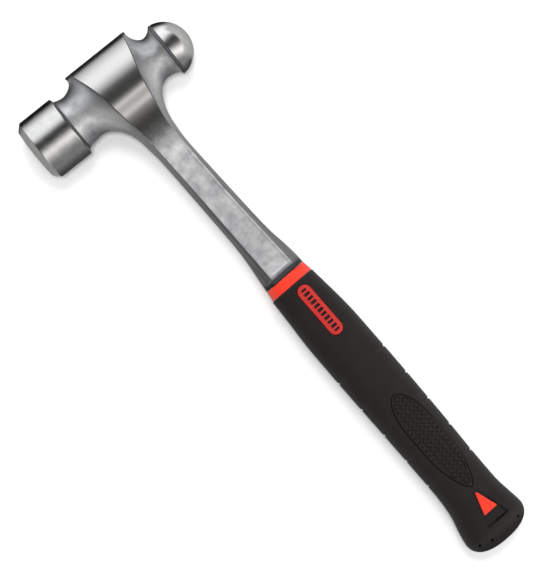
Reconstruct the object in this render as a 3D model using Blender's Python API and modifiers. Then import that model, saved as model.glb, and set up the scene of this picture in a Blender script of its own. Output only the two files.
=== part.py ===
"""Ball peen hammer: a one-piece steel forging whose forked tang sits in a two-colour moulded grip.

Metres, +Z up. The hammer lies on its side: head at +Y, butt at -Y, striking face at -X, ball at +X.
The origin is under the middle of the bounding box. Dimensions below are in millimetres, measured
from the point where the head's axis crosses the handle's centreline, and MM turns them into metres.
"""

from math import cos, pi, radians, sin

import bmesh
import bpy
import numpy as np
from mathutils import Matrix, Vector

MM = 0.001
GAP = 0.3

# Head, along its own axis: the face is at the minus end, the ball at the plus end.
HEAD_DROOP = 2.3
HEAD_RISE = 0.25
FACE_X = -59.9
FACE_RADIUS = 15.2
POLL_RADIUS = 18.75
POLL_BACK_X = -35.0
POLL_NECK_X = -27.6
POLL_NECK_RADIUS = 14.9
BALL_RADIUS = 16.5
BALL_X = 31.3
BALL_RIM_X = 32.7
BALL_NECK_X = 26.6
BALL_NECK_RADIUS = 12.7
NECK_STEP = 0.05
NECK_OVERLAP = 2.0
# The hollows between each neck and its rim, as (radius, distance along the axis).
POLL_HOLLOW = [(15.1, -29.8), (15.8, -32.0), (16.8, -33.7), (18.3, -34.4)]
BALL_HOLLOW = [(15.2, 32.2), (13.9, 31.2), (13.0, 29.2)]

# Eye block: a flat top, with the walls that the necks flare into.
TOP_Y = 22.5
TOP_LEFT_X = -21.0
TOP_RIGHT_X = 20.8

# Places down the handle, from the head's axis.
JOIN_Y = -36.0
PANEL_END_Y = -133.0
FLANGE_Y = -138.4
GRIP_Y = -144.7
BUTT_Y = -327.4
DOME_Y = -315.9

# The forging's edges, as (y, x) points from the head down to the collar.
LEFT_EDGE = [(-34, -10.9), (-38, -10.3), (-46, -9.65), (-75, -9.5), (-103, -9.55), (-115, -10.0),
             (-125, -11.05), (-133, -12.05), (-138.4, -12.6)]
RIGHT_EDGE = [(-34, 10.15), (-38, 9.55), (-46, 9.0), (-75, 9.6), (-103, 10.4), (-115, 11.15),
              (-125, 12.5), (-133, 13.25), (-138.4, 13.4)]
WALL_BULGE = 0.6

# The crisp edges of the ground cheek, which run on as the edges of the shank's flat panel.
LEFT_ARRIS = [(22.5, -17.4), (14.3, -14.5), (8.2, -12.5), (1.4, -10.7), (-4.6, -9.8), (-18, -8.2),
              (-29, -7.0), (-48, -6.6), (-75, -6.2), (-113, -6.1), (-133, -6.1)]
RIGHT_ARRIS = [(22.5, 19.3), (12, 17.2), (5.2, 15.3), (-1.5, 13.4), (-8.3, 12.0), (-21.9, 9.4),
               (-30, 7.8), (-40, 7.1), (-75, 7.2), (-113, 8.1), (-133, 8.8)]
HALF_THICKNESS = [(22.5, 2.0), (21, 4.4), (20, 6.0), (18, 8.5), (15, 11.3), (12, 13.4), (8, 15.3),
                  (4, 16.3), (0, 16.8), (-3.8, 17.0), (-8, 16.6), (-11, 15.6), (-14, 14.3), (-18, 13.4),
                  (-24, 12.9), (-30, 12.7), (-36, 12.2), (-42, 11.3), (-50, 10.0), (-60, 8.9),
                  (-80, 8.0), (-100, 7.5), (-133, 7.0)]
# The flange: places down the handle, how far it spreads past the panel, and its half thickness.
FLANGE = [(-135.4, 0.5, 8.4), (-136.9, 0.8, 9.6), (-138.4, 0.8, 10.0)]
FLANGE_BULGE = (0.9, 0.7)

# How the shoulders flare from each neck into the block's top, the cheek's edge and the shank's wall:
# how far they run straight out of the neck at each of those, and the direction they arrive in.
TOP_REACH = 3.6
CHEEK_REACH = 6.0
POLL_WALL_REACH = 10.5
BALL_WALL_REACH = 9.0
TOP_ARRIVAL = (1.0, 13.0, 0.0)
CHEEK_ARRIVAL = (7.74, 0.0, 4.5)
EDGE_ARRIVAL = (-1.5, -38.0, -2.0)
WALL_ARRIVAL = 38.0
FLARE_POWER = 1.5
CHEEK_ROW_POWER = 1.25

# Tang, fork and the pieces round them, as half widths along X and half thicknesses along Z.
TANG_HALF = (8.0, 4.5)
TANG_END_Y = -312.0
SLOT_HALF = 2.8
SLOT_Y = -208.0
SLEEVE_HALF = (10.8, 7.6)
SLEEVE_Y = (-145.2, -317.0)
# Collar: (y, left x, right x, half thickness) at its two ends.
COLLAR_ENDS = [(-138.7, -12.6, 13.4, 10.3), (-144.4, -13.4, 14.2, 10.9)]

# Grip: (y, left x, right x, half thickness) down to the butt, which ends in a shallow dome.
GRIP_PROFILE = [(-144.7, -14.0, 14.4, 11.4), (-152, -14.3, 15.0, 11.8), (-164, -15.0, 16.1, 12.5),
                (-178, -15.8, 16.9, 13.1), (-205, -15.95, 17.0, 13.5), (-250, -15.7, 16.55, 13.3),
                (-282, -15.75, 15.7, 13.0), (-298, -16.9, 15.6, 13.4), (-309, -19.9, 16.9, 14.3),
                (-315.9, -21.1, 17.75, 14.9)]
OVAL_POWER = 2.35
DOME_POWER = 2.4
BUTT_FLAT = 0.12
GROOVE_Y = [-202.6, -221.7, -240.4, -259.0, -277.2]
GROOVE_RADIUS = 0.9
GROOVE_DEPTH = 0.55

# Inlays in the grip's front and back.
PAD_Y = (-226.2, -292.2)
PAD_X = 2.7
PAD_HALF_WIDTH = 8.5
PAD_FLOOR = 10.3
BADGE_Y = (-147.8, -181.6)
BADGE_X = 3.2
BADGE_HALF_WIDTH = 3.9
BADGE_FLOOR = 9.6
MARKER_Y = (-295.9, -308.6)
MARKER_X = 1.9
MARKER_HALF_WIDTH = 4.6
MARKER_FLOOR = 10.6
MARKER_CORNER = 0.8
MARKER_TIP_INSET = 1.6
MARKER_CORNER_INSET = 0.9
# The palm pad's outline: how far down it is widest, and the powers that round it above and below.
LENS_WIDEST = 0.55
LENS_ABOVE = (4, 0.59)
LENS_BELOW = (2, 0.68)
# The height, beyond the grip's surface, that the inlays are cut down from.
INLAY_TOP = 22.0

BALL_SEGMENTS = 9
NECK_SEGMENTS = 20
TOP_EDGE_SEGMENTS = 3
WALL_SEGMENTS = 3
SHOULDER_COLUMNS = 7
SHANK_ROWS = 12
OVAL_SEGMENTS = 44
GRIP_RINGS = 24
DOME_RINGS = 9


def clear_scene():
    for item in list(bpy.data.objects):
        bpy.data.objects.remove(item, do_unlink=True)


def make_collection(name):
    collection = bpy.data.collections.new(name)
    bpy.context.scene.collection.children.link(collection)
    return collection


def material(name, color, roughness, metallic=0.0):
    made = bpy.data.materials.new(name)
    made.use_nodes = True
    shader = made.node_tree.nodes["Principled BSDF"]
    shader.inputs["Base Color"].default_value = (*color, 1.0)
    shader.inputs["Roughness"].default_value = roughness
    shader.inputs["Metallic"].default_value = metallic
    return made


def add_object(name, mesh, collection, parent, finish=None):
    item = bpy.data.objects.new(name, mesh)
    collection.objects.link(item)
    item.parent = parent
    if finish:
        mesh.materials.append(finish)
        mesh.shade_smooth()
        mesh.set_sharp_from_angle(angle=radians(32))
    else:
        item.hide_render = True
        item.display_type = "WIRE"
    return item


def boolean(item, operation, tool):
    cut = item.modifiers.new(tool.name, "BOOLEAN")
    cut.operation = operation
    cut.object = tool


def through(keys, y):
    """The value at y on a smooth curve through the (y, value) keys, with no overshoot."""
    ys = np.array([key[0] for key in keys], float)
    values = np.array([key[1] for key in keys], float)
    if ys[0] > ys[-1]:
        ys, values = ys[::-1], values[::-1]
    steps = np.diff(values) / np.diff(ys)
    slopes = np.zeros(len(ys))
    same_way = steps[:-1] * steps[1:] > 0
    harmonic = 2 * steps[:-1] * steps[1:] / np.where(same_way, steps[:-1] + steps[1:], 1.0)
    slopes[1:-1] = np.where(same_way, harmonic, 0.0)
    slopes[0], slopes[-1] = steps[0], steps[-1]
    i = int(np.clip(np.searchsorted(ys, y) - 1, 0, len(steps) - 1))
    width = ys[i + 1] - ys[i]
    t = min(max((y - ys[i]) / width, 0.0), 1.0)
    start, end = values[i], values[i + 1]
    return float((2 * t**3 - 3 * t**2 + 1) * start + (t**3 - 2 * t**2 + t) * width * slopes[i]
                 + (3 * t**2 - 2 * t**3) * end + (t**3 - t**2) * width * slopes[i + 1])


def drooped(x, y, z, share=1.0):
    """A point of the head, given along the head's axis, in the handle's frame."""
    angle = -radians(HEAD_DROOP) * share
    raised = x * sin(angle) + y * cos(angle) + HEAD_RISE * share
    return Vector((x * cos(angle) - y * sin(angle), raised, z))


class Skin:
    """Faces that share their corners, built up from rows of points in millimetres."""

    def __init__(self):
        self.mesh = bmesh.new()
        self.corners = {}

    def corner(self, point):
        key = tuple(round(value, 4) for value in point)
        if key not in self.corners:
            self.corners[key] = self.mesh.verts.new(Vector(point) * MM)
        return self.corners[key]

    def face(self, points):
        self.mesh.faces.new([self.corner(point) for point in points])

    def grid(self, rows):
        for above, below in zip(rows, rows[1:]):
            for i in range(len(above) - 1):
                self.face([above[i], above[i + 1], below[i + 1], below[i]])

    def finish(self, name, mirror_z=False):
        if mirror_z:
            everything = self.mesh.verts[:] + self.mesh.edges[:] + self.mesh.faces[:]
            bmesh.ops.mirror(self.mesh, geom=everything, matrix=Matrix(), merge_dist=1e-6, axis="Z")
        bmesh.ops.recalc_face_normals(self.mesh, faces=self.mesh.faces)
        mesh = bpy.data.meshes.new(name)
        self.mesh.to_mesh(mesh)
        self.mesh.free()
        return mesh


def arris(keys, y):
    """A point on the cheek's left or right edge. The droop fades out below the head."""
    fade = min(max((y - JOIN_Y) / -JOIN_Y, 0.0), 1.0)
    return drooped(through(keys, y), y, through(HALF_THICKNESS, y), fade)


def wall_row(arris_keys, edge_keys, y):
    """Points across the shank's side wall at y, from the panel's edge to the parting line."""
    start = arris(arris_keys, y)
    end = Vector((through(edge_keys, y), y, 0.0))
    outward = Vector((np.sign(end.x), 0.0, 0.0))
    row = []
    for i in range(WALL_SEGMENTS + 1):
        share = i / WALL_SEGMENTS
        row.append(start.lerp(end, share) + outward * WALL_BULGE * sin(pi * share))
    return row


def end_boundary(top_x, arris_keys, edge_keys):
    """Where the shoulder ends: the top's edge, the cheek's edge, then the start of the shank wall."""
    top_corner = arris(arris_keys, TOP_Y)
    start = drooped(top_x, TOP_Y, 0.0)
    points = [start.lerp(top_corner, i / TOP_EDGE_SEGMENTS) for i in range(TOP_EDGE_SEGMENTS)]
    arris_segments = NECK_SEGMENTS - TOP_EDGE_SEGMENTS - WALL_SEGMENTS
    for i in range(arris_segments):
        share = i / arris_segments
        points.append(arris(arris_keys, TOP_Y + (JOIN_Y - TOP_Y) * share ** CHEEK_ROW_POWER))
    return points + wall_row(arris_keys, edge_keys, JOIN_Y)


def shoulder(side, neck_x, neck_radius, top_x, arris_keys, edge_keys, wall_reach):
    """Rows that flare from the neck's half circle, top to bottom, to the end boundary."""
    rows = []
    ends = end_boundary(top_x, arris_keys, edge_keys)
    below = wall_row(arris_keys, edge_keys, JOIN_Y - 2.0)
    first_wall = NECK_SEGMENTS - WALL_SEGMENTS
    top_arrival, cheek_arrival, edge_arrival = (Vector((side * x, y, z)) for x, y, z in
                                                (TOP_ARRIVAL, CHEEK_ARRIVAL, EDGE_ARRIVAL))
    for i, end in enumerate(ends):
        angle = pi / 2 - pi * i / NECK_SEGMENTS
        start = drooped(neck_x, neck_radius * sin(angle), neck_radius * cos(angle))
        down = max(0.0, -sin(angle)) ** FLARE_POWER
        up = max(0.0, sin(angle)) ** FLARE_POWER
        level = 1 - up - down
        leave = drooped(side, 0, 0) * (3 * (TOP_REACH * up + CHEEK_REACH * level + wall_reach * down))
        if i >= first_wall:
            down_arrival = (below[i - first_wall] - end).normalized() * WALL_ARRIVAL
        else:
            down_arrival = edge_arrival
        arrive = top_arrival * up + cheek_arrival * level + down_arrival * down
        row = []
        for j in range(SHOULDER_COLUMNS + 1):
            t = j / SHOULDER_COLUMNS
            row.append(start * (2 * t**3 - 3 * t**2 + 1) + leave * (t**3 - 2 * t**2 + t)
                       + end * (3 * t**2 - 2 * t**3) + arrive * (t**3 - t**2))
        row[-1] = end
        rows.append(row)
    rows[0] = [Vector((point.x, point.y, 0.0)) for point in rows[0]]
    rows[-1] = [Vector((point.x, point.y, 0.0)) for point in rows[-1]]
    return rows


def flange_row(arris_keys, edge_keys, y, spread, thickness):
    """A wall row near the collar, where the panel ends and the section thickens to the flange."""
    row = wall_row(arris_keys, edge_keys, y)
    edge = row[-1]
    start = Vector((row[0].x + spread * np.sign(edge.x), y, thickness))
    bulge = Vector((np.sign(edge.x) * FLANGE_BULGE[0], 0.0, FLANGE_BULGE[1]))
    return [start.lerp(edge, i / WALL_SEGMENTS) + bulge * sin(pi * i / WALL_SEGMENTS)
            for i in range(WALL_SEGMENTS + 1)]


def web_mesh():
    """The eye block with its flared shoulders, the cheeks and the shank, down to the flange."""
    skin = Skin()
    left = shoulder(1, POLL_NECK_X, POLL_NECK_RADIUS, TOP_LEFT_X, LEFT_ARRIS, LEFT_EDGE,
                    POLL_WALL_REACH)
    right = shoulder(-1, BALL_NECK_X, BALL_NECK_RADIUS, TOP_RIGHT_X, RIGHT_ARRIS, RIGHT_EDGE,
                     BALL_WALL_REACH)
    for rows in (left, right):
        skin.grid(rows)
        skin.face([row[0] for row in rows])
    tops = [row[-1] for row in left[:TOP_EDGE_SEGMENTS + 1]]
    skin.face(tops + [row[-1] for row in right[TOP_EDGE_SEGMENTS::-1]])
    first_wall = NECK_SEGMENTS - WALL_SEGMENTS
    skin.grid([[left[i][-1], right[i][-1]] for i in range(TOP_EDGE_SEGMENTS, first_wall + 1)])
    heights = np.linspace(JOIN_Y, PANEL_END_Y, SHANK_ROWS + 1).tolist()
    left_rows = [wall_row(LEFT_ARRIS, LEFT_EDGE, y) for y in heights]
    right_rows = [wall_row(RIGHT_ARRIS, RIGHT_EDGE, y) for y in heights]
    for y, spread, thickness in FLANGE:
        left_rows.append(flange_row(LEFT_ARRIS, LEFT_EDGE, y, spread, thickness))
        right_rows.append(flange_row(RIGHT_ARRIS, RIGHT_EDGE, y, spread, thickness))
    skin.grid(left_rows)
    skin.grid(right_rows)
    skin.grid([[a[0], b[0]] for a, b in zip(left_rows, right_rows)])
    skin.face(left_rows[-1][::-1] + right_rows[-1])
    return skin.finish("forging", mirror_z=True)


def turned(name, profile, collection, parent):
    """A solid of revolution about the head's axis, from (radius, distance) points, ball end first."""
    mesh = bpy.data.meshes.new(name)
    points = [(radius * MM, 0.0, distance * MM) for radius, distance in profile]
    mesh.from_pydata(points, [(i, i + 1) for i in range(len(points) - 1)], [])
    item = add_object(name, mesh, collection, parent)
    screw = item.modifiers.new("turn", "SCREW")
    screw.steps = 2 * NECK_SEGMENTS
    screw.render_steps = 2 * NECK_SEGMENTS
    screw.use_merge_vertices = True
    screw.merge_threshold = 0.00001
    item.location = drooped(0, 0, 0) * MM
    item.rotation_euler = (0.0, radians(90), -radians(HEAD_DROOP))
    return item


def poll_profile():
    inner = POLL_NECK_RADIUS - NECK_STEP
    start = POLL_NECK_X + NECK_OVERLAP
    chamfer = POLL_RADIUS - FACE_RADIUS
    return [(0, start), (inner, start), (inner, POLL_NECK_X), *POLL_HOLLOW, (POLL_RADIUS, POLL_BACK_X),
            (POLL_RADIUS, FACE_X + chamfer), (FACE_RADIUS, FACE_X), (0, FACE_X)]


def ball_profile():
    inner = BALL_NECK_RADIUS - NECK_STEP
    end = BALL_NECK_X - NECK_OVERLAP
    rim = np.arccos((BALL_RIM_X - BALL_X) / BALL_RADIUS)
    angles = [rim * i / BALL_SEGMENTS for i in range(1, BALL_SEGMENTS + 1)]
    arc = [(BALL_RADIUS * sin(angle), BALL_X + BALL_RADIUS * cos(angle)) for angle in angles]
    tip = (0, BALL_X + BALL_RADIUS)
    return [tip, *arc, *BALL_HOLLOW, (inner, BALL_NECK_X), (inner, end), (0, end)]


def arc_points(x, y, radius, start, end, steps):
    angles = [radians(start + (end - start) * i / steps) for i in range(steps + 1)]
    return [(x + radius * cos(angle), y + radius * sin(angle)) for angle in angles]


def flat_mesh(name, outline, low, high):
    """A flat outline in XY, extruded from low to high along Z, as a mesh."""
    curve = bpy.data.curves.new(name, "CURVE")
    curve.dimensions = "2D"
    curve.fill_mode = "BOTH"
    curve.extrude = (high - low) / 2 * MM
    spline = curve.splines.new("POLY")
    spline.points.add(len(outline) - 1)
    for point, (x, y) in zip(spline.points, outline):
        point.co = (x * MM, y * MM, 0.0, 1.0)
    spline.use_cyclic_u = True
    guide = bpy.data.objects.new(name, curve)
    bpy.context.scene.collection.objects.link(guide)
    graph = bpy.context.evaluated_depsgraph_get()
    mesh = bpy.data.meshes.new_from_object(guide.evaluated_get(graph))
    bpy.data.objects.remove(guide, do_unlink=True)
    mesh.transform(Matrix.Translation((0.0, 0.0, (low + high) / 2 * MM)))
    welded = bmesh.new()
    welded.from_mesh(mesh)
    bmesh.ops.remove_doubles(welded, verts=welded.verts, dist=1e-6)
    bmesh.ops.recalc_face_normals(welded, faces=welded.faces)
    welded.to_mesh(mesh)
    welded.free()
    mesh.name = name
    return mesh


def fork_outline():
    """The tang: parallel sides, and a slot from its end that makes two round-ended tines."""
    width = TANG_HALF[0]
    tine = (width - SLOT_HALF) / 2
    middle = SLOT_HALF + tine
    end = TANG_END_Y + tine
    left_tine = arc_points(-middle, end, tine, 180, 360, 8)
    root = arc_points(0, SLOT_Y - SLOT_HALF, SLOT_HALF, 180, 0, 8)
    right_tine = arc_points(middle, end, tine, 180, 360, 8)
    return [(width, FLANGE_Y + 3), (-width, FLANGE_Y + 3)] + left_tine + root + right_tine


def oval(left, right, thickness, y, shrink=1.0):
    """A ring round the handle: a superellipse in XZ."""
    middle, half = (left + right) / 2, (right - left) / 2 * shrink
    ring = []
    for i in range(OVAL_SEGMENTS):
        angle = 2 * pi * i / OVAL_SEGMENTS
        across, along = cos(angle), sin(angle)
        ring.append((middle + half * np.sign(across) * abs(across) ** (2 / OVAL_POWER), y,
                     thickness * shrink * np.sign(along) * abs(along) ** (2 / OVAL_POWER)))
    return ring


def loft(name, rings):
    """A closed body through the rings, with a flat face on the first and the last."""
    skin = Skin()
    skin.grid([ring + ring[:1] for ring in rings])
    skin.face(rings[0])
    skin.face(rings[-1])
    return skin.finish(name)


def grip_rings(inset):
    """Rings of the grip's outer surface, drawn in by inset, from the collar to the butt's end."""
    keys = {name: [(key[0], key[column]) for key in GRIP_PROFILE]
            for column, name in enumerate(("left", "right", "thickness"), start=1)}
    rings = []
    for y in np.linspace(GRIP_Y, DOME_Y, GRIP_RINGS):
        left, right = through(keys["left"], y) + inset, through(keys["right"], y) - inset
        rings.append(oval(left, right, through(keys["thickness"], y) - inset, float(y)))
    for i in range(1, DOME_RINGS):
        angle = pi / 2 * i / DOME_RINGS
        drop = (DOME_Y - BUTT_Y - inset) * sin(angle) ** (2 / DOME_POWER)
        shrink = cos(angle) ** (2 / DOME_POWER)
        rings.append(oval(left, right, GRIP_PROFILE[-1][3] - inset, DOME_Y - drop, shrink))
    rings.append(oval(left, right, GRIP_PROFILE[-1][3] - inset, BUTT_Y + inset, BUTT_FLAT))
    return rings


def straight_rings(half, start, end, grow=0.0):
    half_x, half_z = half[0] + grow, half[1] + grow
    return [oval(-half_x, half_x, half_z, y) for y in np.linspace(start, end, 4).tolist()]


def lens_outline(x, ys, half_width, grow):
    """A long oval, blunt towards the head and pointed towards the butt."""
    top, bottom = ys[0] + grow, ys[1] - grow
    points = []
    for side in (1, -1):
        for i in range(16):
            share = i / 16 if side > 0 else 1 - i / 16
            above = max(0.0, 1 - share / LENS_WIDEST)
            below = max(0.0, (share - LENS_WIDEST) / (1 - LENS_WIDEST))
            bulge = ((1 - above ** LENS_ABOVE[0]) ** LENS_ABOVE[1]
                     * (1 - below ** LENS_BELOW[0]) ** LENS_BELOW[1])
            points.append((x + side * (half_width + grow) * bulge, top + (bottom - top) * share))
    return points


def bar_outline(x, ys, half_width, grow):
    """A bar with rounded ends."""
    half = half_width + grow
    top, bottom = ys[0] + grow - half, ys[1] - grow + half
    return arc_points(x, top, half, 0, 180, 10) + arc_points(x, bottom, half, 180, 360, 10)


def triangle_outline(x, ys, half_width, grow):
    """A triangle that points at the head, with its corners rounded."""
    radius = MARKER_CORNER + grow
    half, low = half_width - MARKER_CORNER_INSET, ys[1] + MARKER_CORNER
    tip = arc_points(x, ys[0] - MARKER_TIP_INSET, radius, 20, 160, 5)
    left = arc_points(x - half, low, radius, 160, 270, 5)
    right = arc_points(x + half, low, radius, 270, 380, 5)
    return tip + left + right


def add_inlays(grip, finishes, parts, cutters, parent):
    """The inlays on the front and the back, each cut to the grip's surface, and their pockets."""
    kinds = [("palm_pad", lens_outline, PAD_X, PAD_Y, PAD_HALF_WIDTH, PAD_FLOOR, 0.15),
             ("badge", bar_outline, BADGE_X, BADGE_Y, BADGE_HALF_WIDTH, BADGE_FLOOR, 0.1),
             ("marker", triangle_outline, MARKER_X, MARKER_Y, MARKER_HALF_WIDTH, MARKER_FLOOR, 0.1)]
    for kind, outline, x, ys, half_width, floor, inset in kinds:
        envelope = add_object(kind + "_envelope", loft(kind, grip_rings(inset)), cutters, parent)
        for side, sign in (("front", 1), ("back", -1)):
            name = side + "_" + kind
            low, high = sorted((sign * floor, sign * INLAY_TOP))
            body = flat_mesh(name, outline(x, ys, half_width, 0.0), low, high)
            inlay = add_object(name, body, parts, parent, finishes[kind])
            boolean(inlay, "INTERSECT", envelope)
            low, high = sorted((sign * (floor - GAP), sign * INLAY_TOP))
            hole = flat_mesh(name + "_pocket", outline(x, ys, half_width, GAP), low, high)
            boolean(grip, "DIFFERENCE", add_object(name + "_pocket", hole, cutters, parent))


def groove_cutter():
    """One short rod for each side groove, standing across the grip's edge."""
    mesh = bmesh.new()
    for y in GROOVE_Y:
        for column in (1, 2):
            edge = through([(key[0], key[column]) for key in GRIP_PROFILE], y)
            outward = np.sign(edge) * (GROOVE_RADIUS - GROOVE_DEPTH)
            place = Matrix.Translation(((edge + outward) * MM, y * MM, 0.0))
            bmesh.ops.create_cone(mesh, cap_ends=True, segments=10, radius1=GROOVE_RADIUS * MM,
                                  radius2=GROOVE_RADIUS * MM, depth=30 * MM, matrix=place)
    made = bpy.data.meshes.new("grooves")
    mesh.to_mesh(made)
    mesh.free()
    return made


def add_forging(steel, parts, cutters, parent):
    forging = add_object("forging", web_mesh(), parts, parent, steel)
    boolean(forging, "UNION", turned("poll", poll_profile(), cutters, parent))
    boolean(forging, "UNION", turned("ball", ball_profile(), cutters, parent))
    tang = flat_mesh("tang", fork_outline(), -TANG_HALF[1], TANG_HALF[1])
    boolean(forging, "UNION", add_object("tang", tang, cutters, parent))


def add_grip(finishes, parts, cutters, parent):
    grip = add_object("grip", loft("grip", grip_rings(0.0)), parts, parent, finishes["grip"])
    cavity = straight_rings(SLEEVE_HALF, GRIP_Y + 5, SLEEVE_Y[1] - GAP, GAP)
    boolean(grip, "DIFFERENCE", add_object("grip_cavity", loft("grip_cavity", cavity), cutters, parent))
    boolean(grip, "DIFFERENCE", add_object("grooves", groove_cutter(), cutters, parent))
    add_inlays(grip, finishes, parts, cutters, parent)


def add_core(finishes, parts, cutters, parent):
    """The collar, the rigid sleeve round the tang and the strip in the fork's slot."""
    half_x, half_z = TANG_HALF[0] + GAP, TANG_HALF[1] + GAP
    room = [(half_x, FLANGE_Y), (-half_x, FLANGE_Y), (-half_x, TANG_END_Y - GAP), (half_x, TANG_END_Y - GAP)]
    tang_room = add_object("tang_room", flat_mesh("tang_room", room, -half_z, half_z), cutters, parent)
    collar = [oval(left, right, half_z, y) for y, left, right, half_z in COLLAR_ENDS]
    for name, rings in (("collar", collar), ("inner_sleeve", straight_rings(SLEEVE_HALF, *SLEEVE_Y))):
        piece = add_object(name, loft(name, rings), parts, parent, finishes["collar"])
        boolean(piece, "DIFFERENCE", tang_room)
    half = SLOT_HALF - GAP
    strip = arc_points(0, SLOT_Y - SLOT_HALF, half, 0, 180, 10)
    strip += [(-half, TANG_END_Y + 0.5), (half, TANG_END_Y + 0.5)]
    damper = flat_mesh("fork_damper", strip, -TANG_HALF[1], TANG_HALF[1])
    add_object("fork_damper", damper, parts, parent, finishes["damper"])


def head_frame_location():
    """Puts the origin under the middle of the bounding box."""
    low_x = drooped(FACE_X, -FACE_RADIUS, 0).x
    high_x = drooped(BALL_X, 0, 0).x + BALL_RADIUS
    high_y = drooped(TOP_LEFT_X, TOP_Y, 0).y
    return Vector((-(low_x + high_x) / 2, -(high_y + BUTT_Y) / 2, POLL_RADIUS)) * MM


def main():
    clear_scene()
    parts = make_collection("ball_peen_hammer")
    cutters = make_collection("cutters")
    frame = bpy.data.objects.new("head_frame", None)
    parts.objects.link(frame)
    frame.location = head_frame_location()
    red = material("red_plastic", (0.85, 0.035, 0.02), 0.4)
    black = material("black_rubber", (0.03, 0.028, 0.026), 0.65)
    finishes = {
        "grip": black,
        "palm_pad": material("pad_rubber", (0.035, 0.033, 0.031), 0.75),
        "collar": red,
        "badge": red,
        "marker": red,
        "damper": material("damper_rubber", (0.05, 0.05, 0.055), 0.8),
    }
    add_forging(material("forged_steel", (0.6, 0.6, 0.62), 0.32, 1.0), parts, cutters, frame)
    add_core(finishes, parts, cutters, frame)
    add_grip(finishes, parts, cutters, frame)


main()
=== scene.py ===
"""Ball peen hammer, finished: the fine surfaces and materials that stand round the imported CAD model."""

from collections import namedtuple
from math import cos, pi, radians, sin, sqrt

import bmesh
import bpy
import numpy as np
from mathutils import Matrix, Vector


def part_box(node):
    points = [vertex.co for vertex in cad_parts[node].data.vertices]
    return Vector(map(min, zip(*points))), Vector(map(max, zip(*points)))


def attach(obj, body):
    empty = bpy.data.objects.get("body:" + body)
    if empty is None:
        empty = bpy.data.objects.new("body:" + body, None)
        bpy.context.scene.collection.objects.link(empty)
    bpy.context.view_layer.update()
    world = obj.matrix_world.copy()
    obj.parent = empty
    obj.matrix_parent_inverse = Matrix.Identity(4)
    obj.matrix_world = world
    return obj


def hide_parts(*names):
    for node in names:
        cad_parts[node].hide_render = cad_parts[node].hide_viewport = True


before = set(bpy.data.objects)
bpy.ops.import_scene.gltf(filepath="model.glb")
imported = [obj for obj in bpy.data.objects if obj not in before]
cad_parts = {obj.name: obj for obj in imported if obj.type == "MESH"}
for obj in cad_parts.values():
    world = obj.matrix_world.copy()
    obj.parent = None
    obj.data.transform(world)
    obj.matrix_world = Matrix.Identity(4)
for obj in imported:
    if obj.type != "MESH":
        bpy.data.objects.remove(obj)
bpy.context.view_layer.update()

MM = 0.001

# Sizes in millimetres and angles in degrees. Places are counted from the point where the head's axis
# crosses the handle's centreline.
HEAD_DROOP = 2.3
HEAD_RISE = 0.25
FACE_X = -59.9
FACE_RADIUS = 15.2
FACE_CROWN = 160.0
POLL_RADIUS = 18.75
POLL_BACK_X = -34.6
POLL_NECK_X = -27.6
POLL_NECK_RADIUS = 14.9
POLL_CHAMFER = 4.25
POLL_BACK_BAND = 5.0
POLL_EDGE_ROUND = 0.4
# The poll's back edge: its inset from the radius, and its reach along the axis to each side.
POLL_BACK_EDGE = (0.3, 0.2)
# The dark groove behind the poll: its radius and width, then its steps of radius and x from its start.
POLL_GROOVE_RADIUS, POLL_GROOVE_WIDTH = 15.9, 1.8
POLL_GROOVE_STEPS = [(0.05, -0.4), (0.3, -0.9)]
BALL_RADIUS = 16.5
BALL_X = 31.3
BALL_RIM_X = 32.7
BALL_NECK_X = 26.6
BALL_NECK_RADIUS = 12.7
# The band round the ball's rim: its width, its corners' radius and x from the rim, and their rounding.
BALL_BAND_WIDTH = 1.6
BALL_BAND_CORNERS = [(-0.9, -0.5), (-0.1, 0.0), (-0.15, 0.9), (-0.5, 1.3)]
BALL_BAND_ROUND = 0.3
TOP_Y = 22.5
TOP_LEFT_X = -21.0
TOP_RIGHT_X = 20.8
JOIN_Y = -36.0
PANEL_END_Y = -134.6
FLANGE_Y = -138.4
GRIP_Y = -144.7
BUTT_Y = -327.4
DOME_Y = -315.9

LEFT_EDGE = [(-30, -11.7), (-34, -10.9), (-38, -10.3), (-46, -9.65), (-75, -9.5), (-103, -9.55),
             (-115, -10.0), (-125, -11.05), (-133, -12.05), (-138.4, -12.6)]
RIGHT_EDGE = [(-30, 11.0), (-34, 10.15), (-38, 9.55), (-46, 9.0), (-75, 9.6), (-103, 10.4),
              (-115, 11.15), (-125, 12.5), (-133, 13.25), (-138.4, 13.4)]
LEFT_ARRIS = [(26, -18.7), (22.5, -17.4), (14.3, -14.5), (8.2, -12.5), (1.4, -10.7), (-4.6, -9.8),
              (-18, -8.2), (-29, -7.0), (-48, -6.6), (-75, -6.2), (-113, -6.1), (-138.4, -6.1)]
RIGHT_ARRIS = [(26, 20.0), (22.5, 19.3), (12, 17.2), (5.2, 15.3), (-1.5, 13.4), (-8.3, 12.0),
               (-21.9, 9.4), (-30, 7.8), (-40, 7.1), (-75, 7.2), (-113, 8.1), (-138.4, 9.0)]
# How far the cheek and the panel lean towards the head's top side at each y.
CHEEK_LEAN = [(26, 63), (22.5, 62), (20.7, 60), (20.2, 57), (19.3, 51), (17.7, 45.5), (15, 39),
              (12, 31), (9.4, 23), (7.8, 18), (6.1, 14), (2.8, 9), (1.2, 6), (-3.8, 0), (-5.4, -3.5),
              (-6.6, -7), (-8.2, -13), (-9.6, -20), (-11.4, -24), (-13.4, -22), (-15.2, -15), (-17, -9.5),
              (-18.6, -7), (-20.6, -5), (-22.6, -3.2), (-24.6, -1.8), (-32.3, -1.2), (-35.6, -4),
              (-39.8, -8), (-45, -9.5), (-50, -8), (-60, -4.5), (-80, -1.5), (-140, -0.6)]
CHEEK_HALF_THICKNESS = 17.0
FLANGE_RAMP = 3.2
FLANGE_SPREAD = 0.9
FLANGE_HALF_THICKNESS = 10.0
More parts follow.
